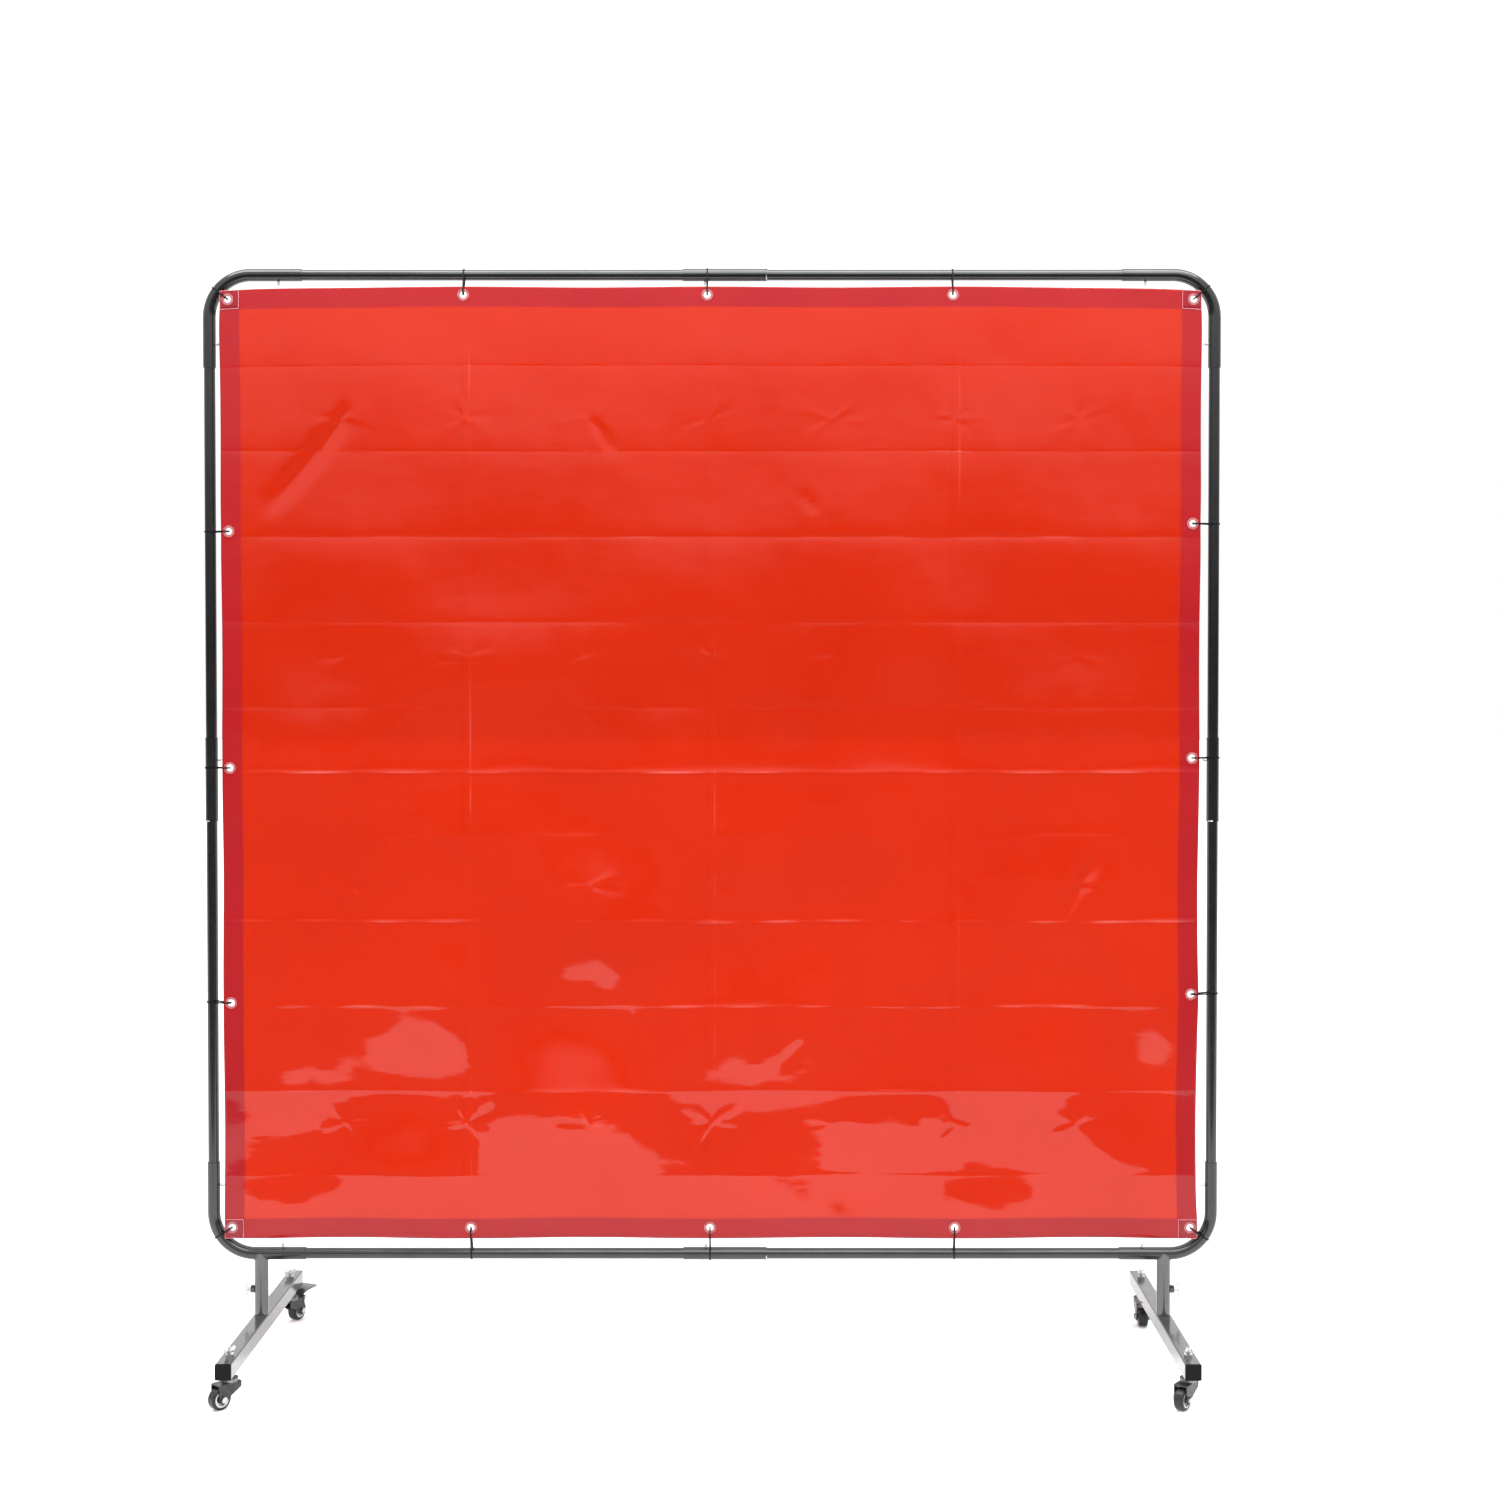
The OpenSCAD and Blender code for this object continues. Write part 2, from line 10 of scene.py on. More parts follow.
import bpy
import numpy as np
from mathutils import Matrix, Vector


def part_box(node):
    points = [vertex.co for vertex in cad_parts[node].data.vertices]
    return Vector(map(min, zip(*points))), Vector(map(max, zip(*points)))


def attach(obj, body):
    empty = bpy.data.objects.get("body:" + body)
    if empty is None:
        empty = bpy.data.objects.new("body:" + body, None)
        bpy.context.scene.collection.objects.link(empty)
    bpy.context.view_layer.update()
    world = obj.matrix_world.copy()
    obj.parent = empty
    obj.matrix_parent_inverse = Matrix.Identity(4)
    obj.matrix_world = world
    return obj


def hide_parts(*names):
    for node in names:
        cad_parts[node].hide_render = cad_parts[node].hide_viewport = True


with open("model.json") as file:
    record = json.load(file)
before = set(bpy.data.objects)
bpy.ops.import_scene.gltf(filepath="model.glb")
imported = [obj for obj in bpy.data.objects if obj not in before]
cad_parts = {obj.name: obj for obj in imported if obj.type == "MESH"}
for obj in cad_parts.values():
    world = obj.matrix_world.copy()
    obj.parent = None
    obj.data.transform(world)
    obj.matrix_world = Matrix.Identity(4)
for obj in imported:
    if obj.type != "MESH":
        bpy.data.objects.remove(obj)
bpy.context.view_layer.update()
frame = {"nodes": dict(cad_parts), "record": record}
MM = 0.001


def linked(name, data):
    """A new object in the scene, with that data."""
    made = bpy.data.objects.new(name, data)
    bpy.context.scene.collection.objects.link(made)
    return made


# ---------- camera ----------

CAMERA_AT = (0.102, -3.818, 1.274)
CAMERA_PITCH = -1.187
CAMERA_YAW = 0.045
LENS = 50.8
SENSOR = 36
SHIFT = (-0.0113, -0.0307)


def make_camera():
    data = bpy.data.cameras.new("camera")
    data.lens = LENS
    data.sensor_width = SENSOR
    data.shift_x, data.shift_y = SHIFT
    camera = linked("camera", data)
    camera.location = CAMERA_AT
    camera.rotation_euler = (math.radians(90 + CAMERA_PITCH), 0, math.radians(CAMERA_YAW))
    bpy.context.scene.camera = camera


make_camera()

# ---------- material helpers ----------


def map_range(nodes, start, stop, low, high):
    """A node that goes from low to high as its value goes from start to stop."""
    node = nodes.new("ShaderNodeMapRange")
    for socket, value in zip(("From Min", "From Max", "To Min", "To Max"), (start, stop, low, high)):
        node.inputs[socket].default_value = value
    return node


class Surface:
    """One node-based material round a Principled shader."""

    def __init__(self, name, **settings):
        self.material = bpy.data.materials.new(name)
        self.material.use_nodes = True
        self.nodes = self.material.node_tree.nodes
        self.links = self.material.node_tree.links
        self.shader = self.nodes["Principled BSDF"]
        for socket, value in settings.items():
            self.shader.inputs[socket.replace("_", " ")].default_value = value
        self.place = self.nodes.new("ShaderNodeTexCoord").outputs["Object"]

    def scaled(self, scale):
        mapping = self.nodes.new("ShaderNodeMapping")
        mapping.inputs["Scale"].default_value = scale
        self.links.new(self.place, mapping.inputs["Vector"])
        return mapping.outputs["Vector"]

    def noise(self, scale, detail=3.0, stretch=(1, 1, 1)):
        node = self.nodes.new("ShaderNodeTexNoise")
        node.inputs["Scale"].default_value = scale
        node.inputs["Detail"].default_value = detail
        self.links.new(self.scaled(stretch), node.inputs["Vector"])
        return node.outputs["Fac"]

    def between(self, factor, low, high, start=0.3, stop=0.7):
        """A number that goes from low to high as factor goes from start to stop."""
        node = map_range(self.nodes, start, stop, low, high)
        self.links.new(factor, node.inputs["Value"])
        return node.outputs["Result"]

    def added(self, a, b):
        node = self.nodes.new("ShaderNodeMath")
        self.links.new(a, node.inputs[0])
        self.links.new(b, node.inputs[1])
        return node.outputs[0]

    def mark(self, name):
        """A number that each mesh point carries."""
        node = self.nodes.new("ShaderNodeAttribute")
        node.attribute_name = name
        return node.outputs["Fac"]

    def colours(self, factor, *stops):
        node = self.nodes.new("ShaderNodeValToRGB")
        ramp = node.color_ramp
        while len(ramp.elements) < len(stops):
            ramp.elements.new(0.5)
        for element, (at, colour) in zip(ramp.elements, stops):
            element.position = at
            element.color = (*colour, 1)
        self.links.new(factor, node.inputs["Fac"])
        self.links.new(node.outputs["Color"], self.shader.inputs["Base Color"])
        return self

    def rough(self, factor, low, high):
        self.links.new(self.between(factor, low, high), self.shader.inputs["Roughness"])
        return self

    def bump(self, factor, height, strength=1.0):
        node = self.nodes.new("ShaderNodeBump")
        node.inputs["Distance"].default_value = height
        node.inputs["Strength"].default_value = strength
        before = self.shader.inputs["Normal"].links
        if before:
            self.links.new(before[0].from_socket, node.inputs["Normal"])
        self.links.new(factor, node.inputs["Height"])
        self.links.new(node.outputs["Normal"], self.shader.inputs["Normal"])
        return self


def paint(name, dark, light, gloss=(0.12, 0.24), metal=0.75, coat=0.4, shine=0.5):
    """Gunmetal paint: soft tone changes, orange peel, and fine dust in the gloss."""
    s = Surface(name, Metallic=metal, Coat_Weight=coat, Coat_Roughness=0.08,
                Specular_IOR_Level=shine)
    s.colours(s.noise(14, 4), (0.3, dark), (0.7, light))
    s.rough(s.noise(90, 5), *gloss)
    s.bump(s.noise(420, 2), 0.00003, 0.25)
    return s.bump(s.noise(45, 2), 0.00005, 0.15)


def zinc():
    """Bright zinc plate, with faint blue and straw tints and light handling marks."""
    s = Surface("zinc", Metallic=1.0)
    s.colours(s.noise(230, 3), (0.3, (0.34, 0.35, 0.38)), (0.55, (0.46, 0.47, 0.48)),
              (0.75, (0.44, 0.43, 0.39)))
    s.rough(s.noise(600, 4), 0.2, 0.38)
    return s.bump(s.noise(900, 3), 0.00006, 0.4)


def plated(name, dark, light):
    s = Surface(name, Metallic=0.85)
    s.colours(s.noise(160, 4), (0.3, dark), (0.7, light))
    s.rough(s.noise(400, 4), 0.26, 0.44)
    return s.bump(s.noise(700, 3), 0.00006, 0.4)


def moulded(name, dark, light, gloss=(0.35, 0.5), grain=1300, shine=0.3):
    """Moulded plastic or rubber with a fine grain."""
    s = Surface(name, Specular_IOR_Level=shine)
    s.colours(s.noise(120, 3), (0.35, dark), (0.65, light))
    s.rough(s.noise(350, 3), *gloss)
    return s.bump(s.noise(grain, 2), 0.00005, 0.5)


def vinyl(name, deep, pale, clear, shine=0.26, gloss=(0.03, 0.07)):
    """Tinted vinyl: cloudy tone, crease marks of stress whitening with painted highlight and painted
    shade, and a rippled glossy skin.
    """
    s = Surface(name, Transmission_Weight=clear, IOR=1.45, Specular_IOR_Level=shine)
    cloud = s.between(s.noise(3.5, 4), 0.35, 0.65)
    # shade is a painted shade colour and white a whitened colour with painted highlight, both reached
    # through the crease marks
    shade = tuple(0.78 * c for c in deep)
    white = tuple(c + 0.11 for c in pale)
    s.colours(s.added(cloud, s.mark("crease")), (0, shade), (0.35, deep), (0.65, pale), (1, white))
    s.rough(s.noise(22, 4), *gloss)
    s.bump(s.noise(9, 3, (1, 1, 2.2)), 0.004, 0.12)
    s.bump(s.noise(60, 3, (1, 1, 0.35)), 0.0006, 0.12)
    return s.bump(s.noise(700, 2), 0.00004, 0.2)


def clear_plastic(name, tint, clear=0.6):
    s = Surface(name, Transmission_Weight=clear, IOR=1.2)
    s.colours(s.noise(200, 3), (0.35, tint), (0.65, tuple(min(1, c * 1.08) for c in tint)))
    s.rough(s.noise(500, 3), 0.08, 0.2)
    return s.bump(s.noise(600, 2), 0.00006, 0.3)


MATERIALS = {
    "frame_paint": paint("frame_paint", (0.026, 0.0265, 0.0275), (0.036, 0.0365, 0.0378),
                         gloss=(0.2, 0.28), metal=1.0, coat=0.6),
    "leg_paint": paint("leg_paint", (0.065, 0.066, 0.068), (0.09, 0.091, 0.093)),
    "foot_paint": paint("foot_paint", (0.085, 0.086, 0.088), (0.11, 0.111, 0.113),
                        gloss=(0.12, 0.2), metal=0.7, coat=0.1, shine=0.15),
    "dark_nut": paint("dark_nut", (0.03, 0.03, 0.032), (0.05, 0.05, 0.052)),
    "zinc": zinc(),
    "fork_steel": plated("fork_steel", (0.035, 0.036, 0.038), (0.06, 0.061, 0.064)),
    "pedal_steel": plated("pedal_steel", (0.12, 0.122, 0.126), (0.18, 0.182, 0.186)),
    "cup_steel": plated("cup_steel", (0.14, 0.142, 0.146), (0.2, 0.202, 0.207)),
    "tread": moulded("tread", (0.009, 0.0092, 0.0096), (0.016, 0.0162, 0.0168),
                    gloss=(0.22, 0.34), grain=900),
    "hub": moulded("hub", (0.55, 0.56, 0.57), (0.64, 0.65, 0.66), (0.3, 0.42)),
    "bearing_seal": moulded("bearing_seal", (0.02, 0.02, 0.022), (0.035, 0.035, 0.037)),
    "end_cap": moulded("end_cap", (0.002, 0.002, 0.0022), (0.004, 0.004, 0.0044),
                       gloss=(0.16, 0.26), shine=0.1),
    "cable_tie": moulded("cable_tie", (0.003, 0.003, 0.0035), (0.006, 0.006, 0.0065),
                         gloss=(0.3, 0.45), shine=0.1),
    "eyelet": clear_plastic("eyelet", (0.86, 0.5, 0.52), 0.85),
    "vinyl": vinyl("vinyl", (0.46, 0.0145, 0.001), (0.49, 0.018, 0.0018), 0.45),
}
hem_vinyl = vinyl("hem_vinyl", (0.3, 0.0085, 0.0115), (0.34, 0.012, 0.014), 0.25, shine=0.2)
patch_vinyl = vinyl("patch_vinyl", (0.26, 0.0085, 0.018), (0.3, 0.011, 0.021), 0.35, shine=0.25)
# the seams' pale pink colour is a painted highlight along the patch outlines
seam_highlight_vinyl = clear_plastic("seam_highlight_vinyl", (0.85, 0.36, 0.38), 0.3)


def finish_nodes():
    """Gives each CAD node the material of its slot in the record."""
    for part in frame["record"]["subparts"]:
        made = MATERIALS.get(part["material_slot"])
        if made is None:
            continue
        mesh = frame["nodes"][part["node"]].data
        mesh.materials.clear()
        mesh.materials.append(made.material)


finish_nodes()

# ---------- vinyl ----------

# The curtain's flat rectangle, from its CAD solid, and the eyelets' centres from theirs
low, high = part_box("curtain_panel")
LEFT, RIGHT, BASE, TOP = low.x, high.x, low.z, high.z
FRONT = low.y
WIDTH, HEIGHT = RIGHT - LEFT, TOP - BASE
VINYL_T = (high.y - low.y) / 2
HEM = 36 * MM
PATCH = 35 * MM
PATCH_T = 0.6 * MM
HOLE_R = 6.6 * MM
HELD_R = 40 * MM  # how far from an eyelet its tie still holds the vinyl flat

# The sheet was folded in half upwards and rolled flat, then folded to a quarter of its width.
# The folds across it lie at a steady pitch on both sides of the middle one.
MIDDLE = BASE + 0.492 * HEIGHT
FIRST_FOLD = 0.0675 * HEIGHT
FOLD_PITCH = 0.0895 * HEIGHT
FIRMNESS = {-5: 0.4, -4: 0.9, -3: 1.0, -2: 1.0, -1: 0.35, 0: 1.3,
            1: 0.35, 2: 0.5, 3: 0.8, 4: 0.45, 5: 0.3}
FOLDS_X = [LEFT + WIDTH * k / 4 for k in (1, 2, 3)]
FOLD_HALF = 7 * MM

# Crinkle stars at the eighths of the width: heights from the middle, and sizes
STARS_X = [LEFT + WIDTH * k / 8 for k in range(1, 8)]
STARS_Z = {MIDDLE - 0.37 * HEIGHT: 1.3, MIDDLE - 0.12 * HEIGHT: 1.0,
           MIDDLE + 0.12 * HEIGHT: 0.45, MIDDLE + 0.37 * HEIGHT: 0.5}

# Dents: place as a part of the width and height, direction in degrees, length and width
DENTS = [
    (0.088, 0.815, 50, 170 * MM, 15 * MM), (0.118, 0.857, 62, 60 * MM, 8 * MM),
    (0.39, 0.845, -60, 60 * MM, 7 * MM), (0.6, 0.775, -50, 40 * MM, 6 * MM),
    (0.43, 0.215, -64, 75 * MM, 7 * MM), (0.585, 0.195, 55, 50 * MM, 7 * MM),
    (0.225, 0.41, -40, 90 * MM, 8 * MM), (0.88, 0.375, 62, 110 * MM, 13 * MM),
]
STAR_H = 0.75 * MM
DENT_DEPTH = 0.3
WAVES = 12
WAVE_H = 2.1 * MM
PUCKERS = 14
PUCKER_H = 0.1 * MM
GRID_STEP = 10 * MM
SEED = 7


def fold_height(n):
    return MIDDLE + (math.copysign(FIRST_FOLD + (abs(n) - 1) * FOLD_PITCH, n) if n else 0)


def island_centres(node):
    """The centre of each separate solid of a node, as (x, z)."""
    mesh = frame["nodes"][node].data
    links = {}

    def root(i):
        while links.setdefault(i, i) != i:
            links[i] = links[links[i]]
            i = links[i]
        return i

    key = {}
    same = [key.setdefault(tuple(round(c, 6) for c in v.co), v.index) for v in mesh.vertices]
    for polygon in mesh.polygons:
        first = root(same[polygon.vertices[0]])
        for v in polygon.vertices[1:]:
            links[root(same[v])] = first
    groups = {}
    for v in mesh.vertices:
        groups.setdefault(root(same[v.index]), []).append((v.co.x, v.co.z))
    centres = []
    for points in groups.values():
        p = np.array(points)
        centres.append((p.min(0) + p.max(0)) / 2)
    return np.array(sorted(map(tuple, centres)))


def top_dip(x, z):
    """How far the top edge hangs below its straight line: most at its pulled-in corners."""
    u, v = (x - LEFT) / WIDTH, (z - BASE) / HEIGHT
    dip = 8 * np.abs(2 * u - 1) ** 8 + 1.6 * np.sin(math.pi * 4 * u) ** 2
    return dip * MM * np.clip(v * 6 - 5, 0, 1)


# The holes are punched in the flat sheet where its dip then brings them onto the eyelets
HOLES = island_centres("eyelets")
HOLES[:, 1] += top_dip(HOLES[:, 0], HOLES[:, 1])


def grid_lines(start, stop, folds, stars, holes, step):
    """Places of the mesh lines: even, with more at the folds, stars, hems and eyelets."""
    fixed = [start, stop, start + HEM, stop - HEM, start + PATCH, stop - PATCH]
    fine = [f + d * MM for f in folds for d in (-10, -7, -4.5, -1.8, 0, 1.8, 4.5, 7, 10)]
    fine += [h + d * MM for h in holes for d in (-13, -10, -7.5, -5, -2.5, 0, 2.5, 5, 7.5, 10, 13)]
    fine += [c + d * MM for c in stars for d in (-22, -17, -12, -8, -4, 0, 4, 8, 12, 17, 22)]
    even = list(np.linspace(start, stop, int((stop - start) / step)))
    lines = sorted(fixed)
    for values, gap in ((fine, 1.2 * MM), (even, 0.45 * step)):
        for v in values:
            if start < v < stop and min(abs(v - w) for w in lines) > gap:
                lines.append(v)
    return np.array(sorted(lines))


def eyelet_fade(x, z):
    """0 at each eyelet, where the ties hold the vinyl, and 1 well away from them."""
    fade = np.ones_like(x)
    for ex, ez in HOLES:
        r2 = (x - ex) ** 2 + (z - ez) ** 2
        fade *= 1 - np.exp(-r2 / (HELD_R**2))
    return fade


def waves(u, v, rng):
    """Slow waves with fine puckers on them, stronger low down, where the sheet hangs slack."""
    slow, fine = np.zeros_like(u), np.zeros_like(u)
    for _ in range(WAVES):
        along, up = rng.uniform(1, 5.5), rng.uniform(-6, 6)
        slow += rng.uniform(0.4, 1) * np.sin(2 * math.pi * (along * u + up * v + rng.uniform()))
    for _ in range(PUCKERS):
        along, up = rng.uniform(8, 26), rng.uniform(-18, 18)
        fine += rng.uniform(0.3, 1) * np.sin(2 * math.pi * (along * u + up * v + rng.uniform()))
    slack = np.clip(1.15 - 1.5 * v, 0, 1)
    return WAVE_H * slow * (0.12 + 0.88 * slack) + PUCKER_H * fine * (0.5 + 0.5 * slack)


def ripple(along, rng, low, high):
    """A number from -1 to 1 that goes up and down unevenly along a fold."""
    a, b = rng.uniform(low, high, 2)
    return np.sin(2 * math.pi * (a * along + rng.uniform())) * np.sin(
        2 * math.pi * (b * along + rng.uniform()))


def fold_across(off, along, firm, rng):
    """A fold along X, off being the height above its line: its relief and its mark, a broken lighter
    line of stress whitening with painted highlight over a band of painted shade just under it.
    """
    off = off + 0.6 * MM * ripple(along, rng, 1, 4)
    tent = 1.1 * MM * (0.8 + 0.3 * ripple(along, rng, 2, 5)) * np.exp(-np.abs(off) / (11 * MM))
    broken = 0.5 + 0.7 * ripple(along, rng, 3, 9)
    line = np.exp(-((off / (1.7 * MM)) ** 2))
    under = np.exp(-(((off + 4 * MM) / (2.4 * MM)) ** 2))
    # under is a painted shade band just below the fold line
    return firm * (tent + 0.42 * MM * broken * line), firm * (0.3 * broken * line - 0.1 * under)


def fold_up(off, along, rng):
    """A double fold along Z, a low flat ridge with two soft edges: its relief and its mark, a painted
    shade along its left edge and a painted highlight along its right edge.
    """
    soft = 1.8 * MM
    edges = np.tanh((off + FOLD_HALF) / soft) - np.tanh((off - FOLD_HALF) / soft)
    left, right = (np.exp(-(((off - at) / (2 * MM)) ** 2)) for at in (-FOLD_HALF, FOLD_HALF))
    broken = 0.7 + 0.5 * ripple(along, rng, 4, 10)
    # the mark darkens the left edge and lightens the right: painted shade and painted highlight
    return 0.16 * MM * broken * edges, 0.16 * broken * (right - left)


def ray(dx, dz, turn, reach, width, spread=0.0):
    """A narrow ridge from the origin, in direction turn, as 0 to 1."""
    along = dx * math.cos(turn) + dz * math.sin(turn)
    across = dz * math.cos(turn) - dx * math.sin(turn)
    width = width + spread * np.abs(along)
    return np.exp(-((across / width) ** 2)) * np.exp(-(((along - reach / 2) / (0.55 * reach)) ** 4))


def star(dx, dz, size, rng):
    """Short crinkles, mostly sideways, where the folded layers were pressed together."""
    out = np.zeros_like(dx)
    for k in range(rng.integers(7, 11)):
        turn = math.pi * (k % 2) + rng.normal(0, 0.6)
        ridge = ray(dx, dz, turn, rng.uniform(22, 62) * MM, 3.2 * MM, 0.07)
        out += rng.uniform(0.3, 1) * (1 if k % 3 else -1) * ridge
    return size * out


def creases(x, z):
    """How far the vinyl stands towards the front, in metres, and its crease marks: stress whitening
    with painted highlight and painted shade.
    """
    u, v = (x - LEFT) / WIDTH, (z - BASE) / HEIGHT
    rng = np.random.default_rng(SEED)
    edge = np.minimum.reduce([x - LEFT, RIGHT - x, z - BASE, TOP - z])
    out = waves(u, v, rng) * (0.3 + 0.7 * np.clip(edge / 0.12, 0, 1))
    marks = np.zeros_like(x)
    for n, firm in FIRMNESS.items():
        height, mark = fold_across(z - fold_height(n), u, firm, rng)
        out += height if n <= 0 else -height
        marks += mark
    for at in FOLDS_X:
        height, mark = fold_up(x - at, v, rng)
        out += height
        marks += mark
    for cz, size in STARS_Z.items():
        for cx in STARS_X:
            crinkle = star(x - cx, z - cz, size * rng.uniform(0.6, 1.2), rng)
            out += STAR_H * crinkle
            # the crinkles' mark follows their relief: painted highlight on raised ridges, painted
            # shade on sunken ones
            marks += 0.1 * crinkle
    for at_u, at_v, turn, length, width in DENTS:
        turn = math.radians(turn)
        dx = x - LEFT - at_u * WIDTH + length / 2 * math.cos(turn)
        dz = z - BASE - at_v * HEIGHT + length / 2 * math.sin(turn)
        dent = ray(dx, dz, turn, length, width)
        out -= DENT_DEPTH * width * dent
        # a painted highlight over each dent
        marks += 0.05 * dent
    fade = eyelet_fade(x, z)
    return out * fade, marks * fade


def relief(x, z):
    return creases(x, z)[0]


def outline_shift(x, z):
    """The edges' small scallops between the ties, and the pulled-in corners: (dx, dz)."""
    u, v = (x - LEFT) / WIDTH, (z - BASE) / HEIGHT
    near_base = np.clip(1 - v * 6, 0, 1)
    near_left, near_right = np.clip(1 - u * 6, 0, 1), np.clip(u * 6 - 5, 0, 1)
    scallop = np.sin(math.pi * 4 * u) ** 2
    side_scallop = np.sin(math.pi * 4 * v) ** 2
    dx = near_left * (1.5 * side_scallop - 3 * v**6)
    dx += near_right * (-1.5 * side_scallop - 3 * (1 - v) + 2 * v)
    keep = eyelet_fade(x, z)
    return dx * keep * MM, near_base * 2.0 * scallop * keep * MM - top_dip(x, z)


def vinyl_grid():
    """The sheet's points, and its faces outside the eyelet holes with their middles."""
    xs = grid_lines(LEFT, RIGHT, FOLDS_X, STARS_X, HOLES[:, 0], GRID_STEP)
    zs = grid_lines(BASE, TOP, map(fold_height, FIRMNESS), STARS_Z, HOLES[:, 1], GRID_STEP)
    x, z = np.meshgrid(xs, zs, indexing="ij")
    for ex, ez in HOLES:
        r = np.hypot(x - ex, z - ez)
        ring = (r > HOLE_R - 1.6 * MM) & (r < HOLE_R + 1.4 * MM)
        grow = np.where(ring, HOLE_R / np.maximum(r, 1e-9), 1)
        x, z = ex + (x - ex) * grow, ez + (z - ez) * grow
    count = len(zs)
    i, j = np.meshgrid(np.arange(len(xs) - 1), np.arange(count - 1), indexing="ij")
    a = (i * count + j).ravel()
    faces = np.stack([a, a + count, a + count + 1, a + 1], axis=1)
    fx, fz = x.ravel()[faces].mean(1), z.ravel()[faces].mean(1)
    keep = np.ones(len(faces), bool)
    for ex, ez in HOLES:
        keep &= np.hypot(fx - ex, fz - ez) > HOLE_R
    return x.ravel(), z.ravel(), faces[keep], fx[keep], fz[keep]


GX, GZ, FACES, FX, FZ = vinyl_grid()
SHIFT_X, SHIFT_Z = outline_shift(GX, GZ)
# the crease marks: stress whitening with painted highlight and painted shade, for the vinyl's colour
RELIEF, CREASE_WHITENING_AND_SHADE = creases(GX, GZ)
IN_HEM = (FX < LEFT + HEM) | (FX > RIGHT - HEM) | (FZ < BASE + HEM) | (FZ > TOP - HEM)
IN_PATCH = ((FX < LEFT + PATCH) | (FX > RIGHT - PATCH)) & ((FZ < BASE + PATCH) | (FZ > TOP - PATCH))


def vinyl_piece(name, faces, y, thickness, *materials):
    """A layer of the sheet: those of its faces, with the middle of their thickness at y."""
    used, index = np.unique(faces, return_inverse=True)
    points = np.stack([GX + SHIFT_X, y - RELIEF, GZ + SHIFT_Z], axis=1)[used]
    mesh = bpy.data.meshes.new(name)
    mesh.from_pydata(points.tolist(), [], index.reshape(faces.shape).tolist())
    mesh.polygons.foreach_set("use_smooth", [True] * len(mesh.polygons))
    # the crease attribute carries stress whitening with painted highlight and painted shade
    mesh.attributes.new("crease", "FLOAT", "POINT").data.foreach_set("value", CREASE_WHITENING_AND_SHADE[used])
    for material in materials:
        mesh.materials.append(material)
    piece = linked(name, mesh)
    solid = piece.modifiers.new("thickness", "SOLIDIFY")
    solid.thickness = thickness
    solid.offset = 0
    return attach(piece, "frame")


def make_vinyl():
    middle = FRONT + VINYL_T / 2
    panel = vinyl_piece("vinyl_curtain", FACES, middle, VINYL_T * 0.9,
                        MATERIALS["vinyl"].material, hem_vinyl.material)
    panel.data.polygons.foreach_set("material_index", IN_HEM.astype(int).tolist())
    hem = vinyl_piece("curtain_hem", FACES[IN_HEM], middle + VINYL_T, VINYL_T * 0.9,
                      hem_vinyl.material)
    patches = vinyl_piece("patch_vinyl", FACES[IN_PATCH], FRONT - PATCH_T / 2, PATCH_T * 0.9,
                          patch_vinyl.material)
    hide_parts("curtain_panel")
    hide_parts("corner_patches")


make_vinyl()

# ---------- welds and seams ----------


def bead(name, loops, radius, material, closed=True, ripple=0.18):
    """A rippled bead along each loop of points."""
    curve = bpy.data.curves.new(name, "CURVE")
    curve.dimensions = "3D"
    curve.bevel_depth = radius
    curve.bevel_resolution = 3
    curve.use_fill_caps = True
    for loop in loops:
        spline = curve.splines.new("POLY")
        spline.points.add(len(loop) - 1)
        for k, (point, place) in enumerate(zip(spline.points, loop)):
            point.co = (*place, 1)
            point.radius = 1 + ripple * math.sin(k * 2.4)
        spline.use_cyclic_u = closed
    curve.materials.append(material)
    piece = linked(name, curve)
    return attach(piece, "frame")


def post_weld(node, segments=72):
    """The saddle-shaped joint between a leg post and the tube above it."""
    a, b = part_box(node)
    tube_a, tube_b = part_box("elbow_bottom_left")
    tube_r = (tube_b.y - tube_a.y) / 2
    tube_z = tube_a.z + tube_r
    x, r = (a.x + b.x) / 2, (b.x - a.x) / 2
    loop = []
    for k in range(segments):
        turn = 2 * math.pi * k / segments
        y = r * math.sin(turn)
        drop = math.sqrt(max(tube_r**2 - y**2, 0))
        loop.append((x + r * math.cos(turn), y, tube_z - drop))
    return loop


def ring_arc(centre, axis, radius, start, stop, segments=14):
    """Part of a ring round a tube that runs along X or Z."""
    points = []
    for k in range(segments + 1):
        turn = math.radians(start + (stop - start) * k / segments)
        across, y = radius * math.cos(turn), radius * math.sin(turn)
        points.append((centre[0], y, centre[1] + across) if axis == "x"
                      else (centre[0] + across, y, centre[1]))
    return points


def sleeve_tacks():
    """Short welds at the fixed end of each sleeve: the right end or the lower end."""
    loops = []
    for node, axis in (("top_sleeve", "x"), ("bottom_sleeve", "x"),
                       ("left_sleeve", "z"), ("right_sleeve", "z")):
        a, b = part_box(node)
        middle = ((a.x + b.x) / 2, (a.z + b.z) / 2)
        radius = (b.y - a.y) / 2 - 0.4 * MM
        centre = (b.x, middle[1]) if axis == "x" else (middle[0], a.z)
        for turn in (-120, 0, 120):
            loops.append(ring_arc(centre, axis, radius, turn - 24, turn + 24))
    return loops


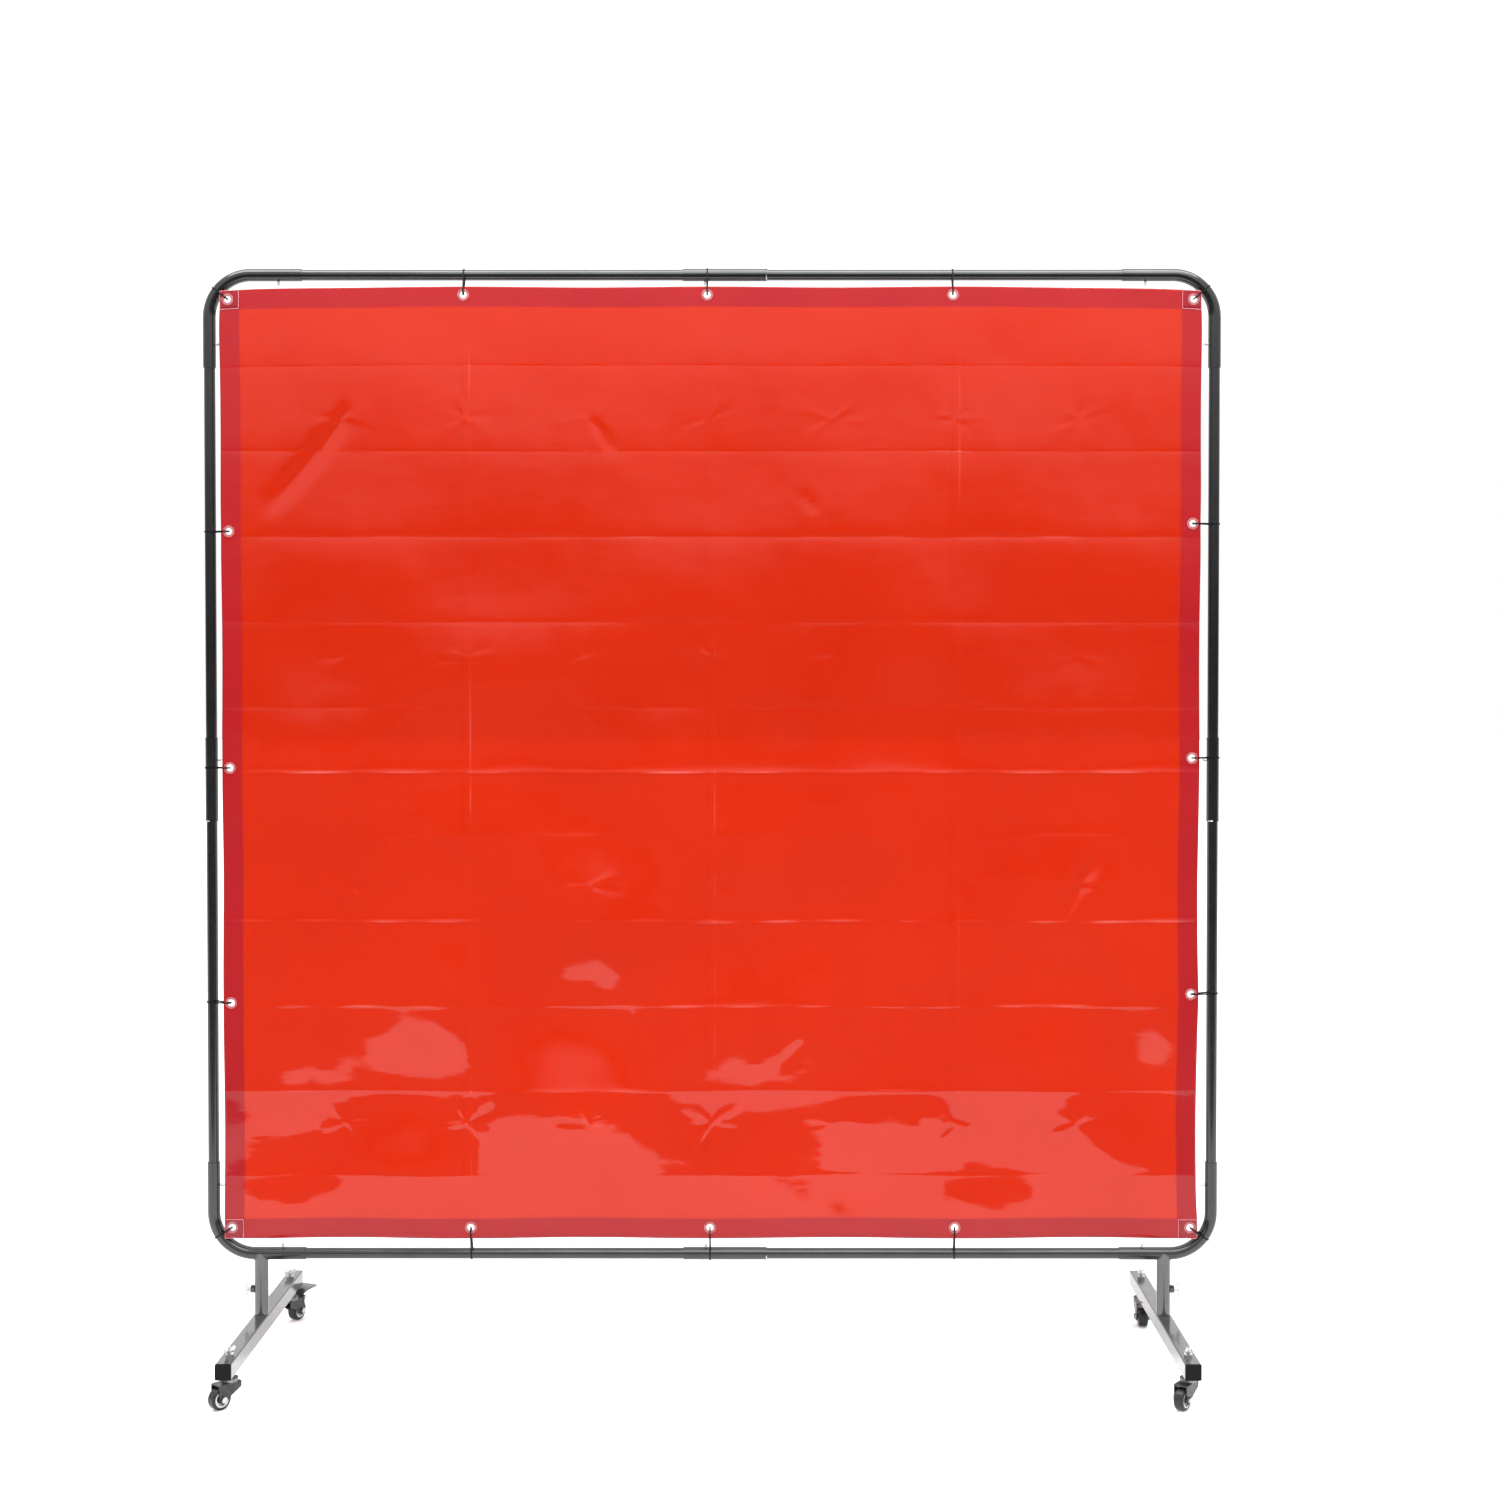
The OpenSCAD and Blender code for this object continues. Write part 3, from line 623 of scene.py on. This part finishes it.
def patch_outlines(inset=0.8 * MM, step=2 * MM):
    """The heat-sealed edge of each corner patch."""
    loops = []
    for x0, x1 in ((LEFT, LEFT + PATCH), (RIGHT - PATCH, RIGHT)):
        for z0, z1 in ((BASE, BASE + PATCH), (TOP - PATCH, TOP)):
            xs = np.arange(x0 + inset, x1 - inset, step)
            zs = np.arange(z0 + inset, z1 - inset, step)
            path = [(x, z0 + inset) for x in xs] + [(x1 - inset, z) for z in zs]
            path += [(x, z1 - inset) for x in xs[::-1]] + [(x0 + inset, z) for z in zs[::-1]]
            x, z = np.array(path).T
            dx, dz = outline_shift(x, z)
            y = FRONT - PATCH_T - relief(x, z)
            loops.append(list(zip(x + dx, y, z + dz)))
    return loops


bead("post_welds", [post_weld("leg_post_left"), post_weld("leg_post_right")],
     1.4 * MM, MATERIALS["leg_paint"].material)
bead("sleeve_tacks", sleeve_tacks(), 1.1 * MM, MATERIALS["zinc"].material, closed=False)
# the patch seams' pale colour is a painted highlight
bead("patch_seams", patch_outlines(), 0.35 * MM, seam_highlight_vinyl.material, ripple=0.1)

# ---------- stage ----------

DIM = 0.2  # the studio in front, as reflections and light see it
CARD_Y = -1.78
FLOOR_EDGE = 30
FLOOR_GLOW = 0.12


def stage_sheet(name, low, high, z, tone):
    """A level sheet of paint or card from low to high, as (x, y)."""
    mesh = bpy.data.meshes.new(name)
    (x0, y0), (x1, y1) = low, high
    mesh.from_pydata([(x0, y0, z), (x1, y0, z), (x1, y1, z), (x0, y1, z)], [], [(0, 1, 2, 3)])
    s = Surface(name, Roughness=0.9)
    s.colours(s.noise(1.5, 2), (0.3, (tone,) * 3), (0.7, (1.03 * tone,) * 3))
    mesh.materials.append(s.material)
    sheet = linked(name, mesh)
    return sheet, s


def make_floor():
    """A plain white floor, and a dark card in front that only reflections see."""
    s = stage_sheet("floor", (-FLOOR_EDGE, -FLOOR_EDGE), (FLOOR_EDGE, FLOOR_EDGE), 0, 0.9)[1]
    s.shader.inputs["Emission Color"].default_value = (1, 1, 1, 1)
    s.shader.inputs["Emission Strength"].default_value = FLOOR_GLOW
    card = stage_sheet("dark_card", (-FLOOR_EDGE, -FLOOR_EDGE), (FLOOR_EDGE, CARD_Y), 2 * MM, 0.13)[0]
    card.visible_camera = card.visible_diffuse = card.visible_shadow = False
    card.visible_transmission = card.visible_volume_scatter = False


def make_world():
    """A white studio. What it lights and mirrors is dim in front, between floor and lamps."""
    world = bpy.data.worlds.new("studio")
    world.use_nodes = True
    nodes, links = world.node_tree.nodes, world.node_tree.links

    def brightest(a, b):
        node = nodes.new("ShaderNodeMath")
        node.operation = "MAXIMUM"
        links.new(a, node.inputs[0])
        links.new(b, node.inputs[1])
        return node.outputs[0]

    def climb(direction, start, stop, most):
        ramp = map_range(nodes, start, stop, DIM, most)
        ramp.interpolation_type = "SMOOTHSTEP"
        links.new(direction, ramp.inputs["Value"])
        return ramp.outputs["Result"]

    split = nodes.new("ShaderNodeSeparateXYZ")
    links.new(nodes.new("ShaderNodeTexCoord").outputs["Generated"], split.inputs[0])
    behind = climb(split.outputs["Y"], 0.3, 0.8, 1.0)
    above = climb(split.outputs["Z"], 0.0, 0.2, 1.55)
    path = nodes.new("ShaderNodeLightPath")
    straight = brightest(path.outputs["Is Camera Ray"], path.outputs["Is Transmission Ray"])
    strength = brightest(brightest(behind, above), straight)
    links.new(strength, nodes["Background"].inputs["Strength"])
    nodes["Background"].inputs["Color"].default_value = (1, 1, 1, 1)
    bpy.context.scene.world = world


def softbox(name, at, aim, size, power):
    data = bpy.data.lights.new(name, "AREA")
    data.shape = "RECTANGLE"
    data.size, data.size_y = size
    data.energy = power
    lamp = linked(name, data)
    lamp.location = at
    toward = np.array(aim) - np.array(at)
    flat = math.hypot(toward[0], toward[1])
    lamp.rotation_euler = (math.atan2(flat, -toward[2]), 0, math.atan2(-toward[0], toward[1]))


def sun(name, strength):
    """A very soft overhead light, even over the whole floor."""
    data = bpy.data.lights.new(name, "SUN")
    data.energy = strength
    data.angle = math.radians(70)
    linked(name, data)


make_floor()
make_world()
softbox("top_light", (0, -0.6, 3.7), (0, -0.3, 0), (4.2, 1.1), 125)
softbox("front_light", (0.5, -3.6, 4.7), (0, 0, 1.3), (3.6, 2.2), 112)
sun("even_light", 0.75)
bpy.context.scene.view_settings.view_transform = "Standard"
